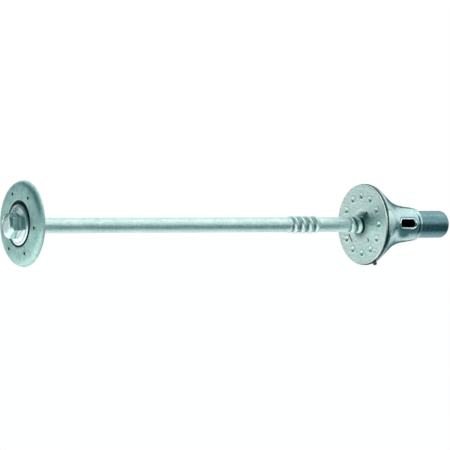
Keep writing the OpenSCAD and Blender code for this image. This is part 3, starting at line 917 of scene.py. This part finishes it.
lip = new_piece("pressed_lip", lip_points, capped(lip_steps + 1, 2 * (lip_across + 1)))
mend(lip)
grow(lip, lump_tree, face_zinc)
joined(disc, lip)
mend(disc, smooth_below=40)
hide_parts("face_plate")
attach(disc, "far_anchor")


# Flared sleeve
# A trumpet pressed from one sheet behind the disc: a straight rim, a cone, a hollow flare and a neck
# that grips the barrel. A lipped window shows the inside, with a shallow flute and a crimp beside it.
sleeve_wall = 1.2 * mm
rim_radius = 27.2 * mm
rim_land, rim_round = 1.1 * mm, 4.5 * mm
cone_slope, neck_slope, end_slope = 35, 6.5, 65
flare_radius, neck_length, neck_end_round = 38 * mm, 9.1 * mm, 2.2 * mm
barrel_radius = 9.15 * mm
neck_radius = barrel_radius + 0.81 * mm + sleeve_wall
sleeve_hole = barrel_radius + 0.05 * mm
sleeve_step, sleeve_around = 0.32 * mm, 300


def straight_run(line, length):
    """Carries a line of (x, radius, heading) on in its own direction."""
    x, r, heading = line[-1]
    turn = math.radians(heading)
    count = max(1, math.ceil(length / sleeve_step))
    for k in range(1, count + 1):
        gone = length * k / count
        line.append((x + gone * math.cos(turn), r + gone * math.sin(turn), heading))


def bent_run(line, heading, radius):
    """Carries a line on along an arc to a new heading."""
    x, r, start = line[-1]
    side = 1 if heading > start else -1
    count = max(4, math.ceil(abs(math.radians(heading - start)) * radius / sleeve_step))
    first = math.radians(start)
    for k in range(1, count + 1):
        turn = math.radians(start + (heading - start) * k / count)
        line.append((x + side * radius * (math.sin(turn) - math.sin(first)),
                     r - side * radius * (math.cos(turn) - math.cos(first)), math.degrees(turn)))


cone_turn, neck_turn = math.radians(cone_slope), math.radians(neck_slope)
cone_drop = rim_radius - neck_radius - rim_round * (1 - math.cos(cone_turn))
cone_drop -= flare_radius * (math.cos(neck_turn) - math.cos(cone_turn))
cone_drop -= neck_length * math.tan(neck_turn)
sleeve_line = [(sleeve_x, rim_radius, 0)]
straight_run(sleeve_line, rim_land)
bent_run(sleeve_line, -cone_slope, rim_round)
straight_run(sleeve_line, cone_drop / math.sin(cone_turn))
cone_end = sleeve_line[-1]
bent_run(sleeve_line, -neck_slope, flare_radius)
straight_run(sleeve_line, neck_length / math.cos(neck_turn))
bent_run(sleeve_line, -end_slope, neck_end_round)
neck_end_x = sleeve_line[-1][0]

window_clock = math.radians(2.5)
window_start, window_length, window_width = face_x + 20.9 * mm, 16.9 * mm, 5.4 * mm
window_end, window_half = window_start + window_length, window_width / 2
window_above, window_lip, window_lip_width, window_lip_crest = 0.5 * mm, 0.5 * mm, 0.9 * mm, 0.35
hole_length = 16 * mm
shelf_depth, shelf_edge, shelf_reach = 0.6 * mm, 0.5 * mm, 3
groove_x, groove_depth, groove_half = neck_end_x - 3.3 * mm, 0.35 * mm, 0.7 * mm
flute_x, flute_half, flute_depth = face_x + 5.6 * mm, 9.5 * mm, 0.6 * mm
flute_r = cone_end[1] + (cone_end[0] - flute_x) * math.tan(cone_turn)
flute_middle = Vector((flute_x, flute_r * math.cos(window_clock), flute_r * math.sin(window_clock)))
crimp_clock, crimp_x, crimp_half, crimp_depth = math.radians(49), face_x + 35.8 * mm, 1.4 * mm, 0.5 * mm
crimp_r = min(sleeve_line, key=lambda p: abs(p[0] - crimp_x))[1]
crimp_middle = Vector((crimp_x, crimp_r * math.cos(crimp_clock), crimp_r * math.sin(crimp_clock)))


def raised(x, radius, turn):
    """How far the sleeve's outside is pressed out at a place, or in where this is below 0."""
    nearest = min(max(x, window_start + window_half), window_end - window_half)
    height = -groove_depth * math.exp(-((x - groove_x) / groove_half) ** 2)
    if math.cos(turn - window_clock) > 0:
        beside = math.hypot(x - nearest, radius * math.sin(turn - window_clock)) - window_half
        if beside < 2 * window_lip_width:
            rise = max(0.0, 1 - abs(beside / window_lip_width - window_lip_crest))
            height += window_lip * rise * rise * (3 - 2 * rise)
        shelf = (window_end - x) / (window_length - hole_length)
        if beside < 0 and shelf < shelf_reach:
            height -= shelf_depth * min(1, shelf) * min(1, -beside / shelf_edge)
    here = Vector((x, radius * math.cos(turn), radius * math.sin(turn)))
    for middle, half, depth in (
            (flute_middle, flute_half, flute_depth), (crimp_middle, crimp_half, crimp_depth)):
        near = 1 - ((here - middle).length / half) ** 2
        if near > 0:
            height -= depth * near
    return height


def outwards(x, radius, heading, distance):
    """A point at a distance out from a line of (x, radius, heading), square to it."""
    turn = math.radians(heading)
    return (x - distance * math.sin(turn), radius + distance * math.cos(turn))


inner_line = [outwards(*point, -sleeve_wall) for point in sleeve_line][::4]
sleeve_end = [(neck_end_x, sleeve_hole), (inner_line[-1][0], sleeve_hole)]
sleeve_sections = []
for column in range(sleeve_around):
    turn = math.tau * column / sleeve_around
    outside = [outwards(*point, raised(*point[:2], turn)) for point in sleeve_line]
    sleeve_sections.append(outside + sleeve_end + inner_line[::-1])
sleeve = turned("trumpet_sleeve", sleeve_sections)
mend(sleeve)

sleeve_zinc = zinc(
    "sleeve_zinc", pale=(0.64, 0.84, 0.84), dull=(0.32, 0.52, 0.54), roughness=0.19,
    crystal=3 * mm, grain=1.6 * mm, relief=0.05 * mm, painted_shade=0.9)
sleeve_skin, on_sleeve = placed(sleeve_zinc, axis_z)
past_middle = calc(sleeve_skin, "SUBTRACT", on_sleeve["along"], window_start + window_length / 2)
past_straight = calc(sleeve_skin, "SUBTRACT", calc(sleeve_skin, "ABSOLUTE", past_middle),
                     window_length / 2 - window_half)
past_straight = calc(sleeve_skin, "MAXIMUM", past_straight, 0.0)
window_rise = calc(sleeve_skin, "SUBTRACT", on_sleeve["above"], window_above)
from_slot = span(sleeve_skin, window_rise, past_straight)
on_window_side = fade(sleeve_skin, on_sleeve["beside"], 0.0, -2 * mm)
# Painted highlight: a pale band along the crest of the window's lip, on the window's side only.
on_lip = stripe(sleeve_skin, from_slot, window_half + 0.5 * mm, 0.7 * mm, 0.35 * mm)
marked(sleeve_zinc, (0.9, 1.0, 1.0), on_lip, on_window_side, 0.7)
# Painted shade: a dark band round the foot of the window's lip.
at_root = stripe(sleeve_skin, from_slot, window_half + 1.5 * mm, 0.7 * mm, 0.2 * mm)
marked(sleeve_zinc, (0.05, 0.13, 0.15), at_root, on_window_side, 0.75)
# Painted shade: the pressed-in shelf at the window's far end is darkened.
hole_end = window_start + hole_length
in_slot = fade(sleeve_skin, from_slot, window_half, window_half - 0.4 * mm)
past_hole = fade(sleeve_skin, on_sleeve["along"], hole_end - 3 * mm, hole_end - 2 * mm)
marked(sleeve_zinc, (0.16, 0.3, 0.32), in_slot, past_hole, on_window_side, 0.65)
# Painted highlight on the flute's hollow, and painted shade along its edge; the flute is also made rougher.
from_flute = span(
    sleeve_skin, calc(sleeve_skin, "SUBTRACT", on_sleeve["above"], flute_middle.z),
    calc(sleeve_skin, "SUBTRACT", on_sleeve["along"], flute_middle.x),
    calc(sleeve_skin, "SUBTRACT", on_sleeve["beside"], -flute_middle.y))
in_flute = fade(sleeve_skin, from_flute, flute_half - 0.5 * mm, flute_half - 4 * mm)
flute_edge = stripe(sleeve_skin, from_flute, flute_half - 0.4 * mm, 0.7 * mm, 0.2 * mm)
marked(sleeve_zinc, (0.88, 1.0, 1.0), in_flute, 0.75)
marked(sleeve_zinc, (0.05, 0.15, 0.17), flute_edge, 0.5)
dulled(sleeve_zinc, 0.12, in_flute)
# Painted shade: a dark line where the rim land meets the cone, and in the groove by the neck's end,
# strongest on the sides level with the axis.
in_seam = fade(sleeve_skin, on_sleeve["along"], sleeve_x + 1.8 * mm, sleeve_x + 1.1 * mm)
on_cheek = stripe(sleeve_skin, on_sleeve["above"], 0.0, 7.5 * mm, 4.5 * mm)
in_groove = times(sleeve_skin, stripe(sleeve_skin, on_sleeve["along"], groove_x, 1.1 * mm, 0.5 * mm),
                  calc(sleeve_skin, "MULTIPLY_ADD", on_cheek, 0.75, 0.25))
marked(sleeve_zinc, (0.01, 0.035, 0.045), calc(sleeve_skin, "MAXIMUM", in_seam, in_groove), 0.9)
grow(sleeve, lump_tree, sleeve_zinc)


def spoke_point(x, out, across, turn):
    """A point at a distance out from the axis along a spoke at an angle, and across that spoke."""
    return (x, -(out * math.cos(turn) - across * math.sin(turn)),
            axis_z + out * math.sin(turn) + across * math.cos(turn))


window_outline = (arc(hole_end - window_half, 0, window_half, -90, 90, 24)
                  + arc(window_start + window_half, 0, window_half, 90, 270, 24))
cut_from, cut_to = 5 * mm, 30 * mm
cutter = new_piece(
    "window", [spoke_point(x, out, across, window_clock)
               for out in (cut_from, cut_to) for x, across in window_outline],
    capped(2, len(window_outline)))
mend(cutter)
carve(sleeve, cutter)
mend(sleeve, smooth_below=40)
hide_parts("flared_sleeve")
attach(sleeve, "far_anchor")


# Rim lug
# A small round-ended tab that stands out from the sleeve's rim and chocks it against rolling. It is
# of the sleeve's own sheet, and so has its zinc.
lug_height, lug_width, lug_thickness = 2.4 * mm, 2.7 * mm, 1.6 * mm
lug_half = lug_width / 2
lug_foot = rim_radius - sleeve_wall
lug_centre = rim_radius + lug_height - lug_half
lug_clock = math.radians(-90) + math.acos((rim_radius - lug_half) / lug_centre)
lug_outline = [(lug_foot, -lug_half), *arc(lug_centre, 0, lug_half, -90, 90, 12), (lug_foot, lug_half)]
lug = new_piece(
    "rim_lug", [spoke_point(x, out, across, lug_clock)
                for x in (sleeve_x, sleeve_x + lug_thickness) for out, across in lug_outline],
    capped(2, len(lug_outline)))
mend(lug)
bevelled(lug, 0.25 * mm)
mend(lug)
lug.data.materials.append(sleeve_zinc)
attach(lug, "far_anchor")


# End barrel
# A drawn steel tube with a closed, rounded end that takes the surplus thread. Its coating is dark,
# and the drawing has left it faintly streaked along its length.
dark_coat = speckled(
    "dark_coat", speck=1.2 * mm, stretch=0.6, first=(0.05, 0.13, 0.16), second=(0.28, 0.48, 0.52),
    roughness=0.16)[0]
dark_coat.node_tree.nodes["Principled BSDF"].inputs["Metallic"].default_value = 1.0
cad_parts["end_barrel"].material_slots[0].material = dark_coat
